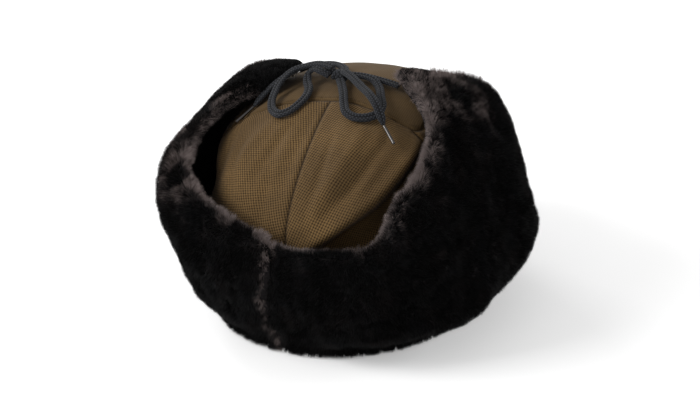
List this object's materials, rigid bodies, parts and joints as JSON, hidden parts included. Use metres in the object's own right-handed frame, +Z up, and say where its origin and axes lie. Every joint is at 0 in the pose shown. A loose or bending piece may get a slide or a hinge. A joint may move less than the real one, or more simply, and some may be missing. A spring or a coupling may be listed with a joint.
{
  "type": "winter hat",
  "caption": "Winter hat with a cloth crown, a front fur flap, and fur ear and neck flaps turned up and tied over the top with a cord in a bow.",
  "frame": {"origin": "centre of the hat's footprint on the surface that it rests on, without the tie", "axes": "+Z up, +Y towards the back of the head, +X towards the wearer's left"},
  "size_m": [0.2402, 0.2614, 0.1694],
  "materials": {
    "brown_cloth": "coarse brown weave",
    "dark_cloth": "plain dark cloth",
    "dark_fur": "short dense dark pile",
    "grey_cord": "braided dark lace",
    "steel": "thin pressed metal"
  },
  "bodies": {
    "root": {"crown_back_left": "brown_cloth", "crown_back_right": "brown_cloth", "crown_side_left": "brown_cloth", "crown_side_right": "brown_cloth", "crown_top": "brown_cloth", "fur_flap_left": "dark_fur", "fur_flap_right": "dark_fur", "fur_visor": "dark_fur", "flap_left_cloth": "dark_cloth", "flap_right_cloth": "dark_cloth", "visor_cloth": "dark_cloth", "tie_lead_left": "grey_cord", "tie_lead_right": "grey_cord", "bow_loop_left": "grey_cord", "bow_loop_right": "grey_cord", "bow_end_left": "grey_cord", "bow_end_right": "grey_cord", "bow_knot": "grey_cord", "aglet_left": "steel", "aglet_right": "steel"}
  },
  "joints": []
}
